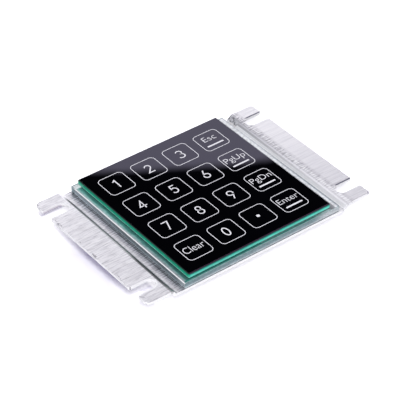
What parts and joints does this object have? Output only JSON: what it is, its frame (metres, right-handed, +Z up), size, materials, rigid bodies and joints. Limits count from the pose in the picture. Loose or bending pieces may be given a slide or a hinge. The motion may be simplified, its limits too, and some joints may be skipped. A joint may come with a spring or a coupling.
{
  "type": "capacitive touch keypad",
  "caption": "Glass touch keypad with a square grid of printed keys, taped into a joggled sheet carrier with open stud slots, its controller board beneath.",
  "frame": {"origin": "middle of the carrier in plan, at the level that the lowest screw heads stand on", "axes": "+X along a row of keys from left to right and across the two slotted flanges, +Y towards the row farthest from the user, +Z up out of the glass face"},
  "size_m": [0.139, 0.095, 0.0127],
  "materials": {
    "cover_glass": "clear float glass, ground edges with a green tint",
    "black_print": "gloss black print",
    "white_print": "white print",
    "clear_bond": "clear bonding layer",
    "sensor_glass": "clear glass with a blue-grey edge",
    "tape": "black double-sided tape",
    "brushed_sheet": "brushed along the length",
    "soft_seal": "grey foam rubber",
    "flex_tail": "amber flexible circuit",
    "amber_film": "amber insulating film",
    "plated_steel": "zinc plated",
    "circuit_board": "green solder mask over glass fibre",
    "chip_resin": "moulded black resin",
    "tinned_metal": "bright tin",
    "capacitor_ceramic": "tan fired ceramic",
    "resistor_ceramic": "black glazed ceramic",
    "connector_plastic": "ivory moulding",
    "black_plastic": "black moulding",
    "socket_steel": "drawn steel, plated",
    "gilt_contact": "gold plated"
  },
  "bodies": {
    "root": {"front_glass": "cover_glass", "black_print": "black_print", "key_outlines": "white_print", "function_bars": "white_print", "point_mark": "white_print", "optical_bond": "clear_bond", "sensor_glass": "sensor_glass", "mounting_tape": "tape", "carrier_tray": "brushed_sheet", "tail_seal": "soft_seal", "sensor_tail": "flex_tail", "insulator_film": "amber_film", "standoffs": "plated_steel", "controller_board": "circuit_board", "board_screws": "plated_steel", "touch_controller": "chip_resin", "controller_leads": "tinned_metal", "regulator": "chip_resin", "regulator_leads": "tinned_metal", "crystal": "tinned_metal", "chip_capacitors": "capacitor_ceramic", "chip_resistors": "resistor_ceramic", "chip_terminals": "tinned_metal", "tail_connector": "connector_plastic", "tail_latch": "black_plastic", "tail_contacts": "tinned_metal", "socket_shell": "socket_steel", "socket_tongue": "black_plastic", "socket_contacts": "gilt_contact"}
  },
  "joints": []
}
